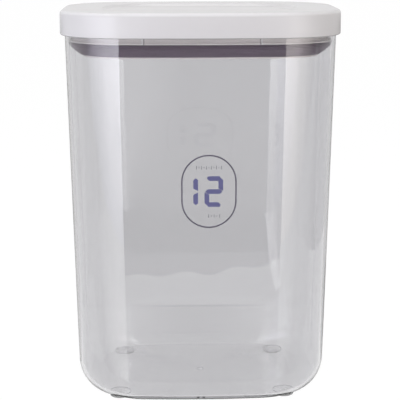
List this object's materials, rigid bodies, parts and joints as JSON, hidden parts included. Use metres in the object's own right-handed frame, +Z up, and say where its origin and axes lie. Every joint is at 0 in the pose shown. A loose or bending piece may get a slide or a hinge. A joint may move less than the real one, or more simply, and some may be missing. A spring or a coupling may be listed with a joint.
{
  "type": "dry food storage tub",
  "caption": "Tall clear storage tub with rounded corners and tapered sides, a white push-on lid with a finned gasket plug, and round foot pads.",
  "frame": {"origin": "on the ground under the middle of the tub", "axes": "+Z up, the front faces -Y, +X to the right seen from the front"},
  "size_m": [0.266, 0.184, 0.373],
  "materials": {
    "clear_shell": "clear, polished",
    "white_cover": "satin white",
    "white_plug": "satin warm white",
    "gasket_rubber": "soft dark grey with fine fins",
    "clear_pad": "clear soft pad"
  },
  "bodies": {
    "tub": {"tub_body": "clear_shell", "foot_front_left": "clear_pad", "foot_front_right": "clear_pad", "foot_rear_left": "clear_pad", "foot_rear_right": "clear_pad"},
    "lid": {"lid_cover": "white_cover", "lid_plug": "white_plug", "gasket": "gasket_rubber"}
  },
  "joints": [
    {"name": "lid_lift", "type": "slide", "parent": "tub", "child": "lid", "axis": [0, 0, 1], "range_m": [0, 0.12]}
  ]
}
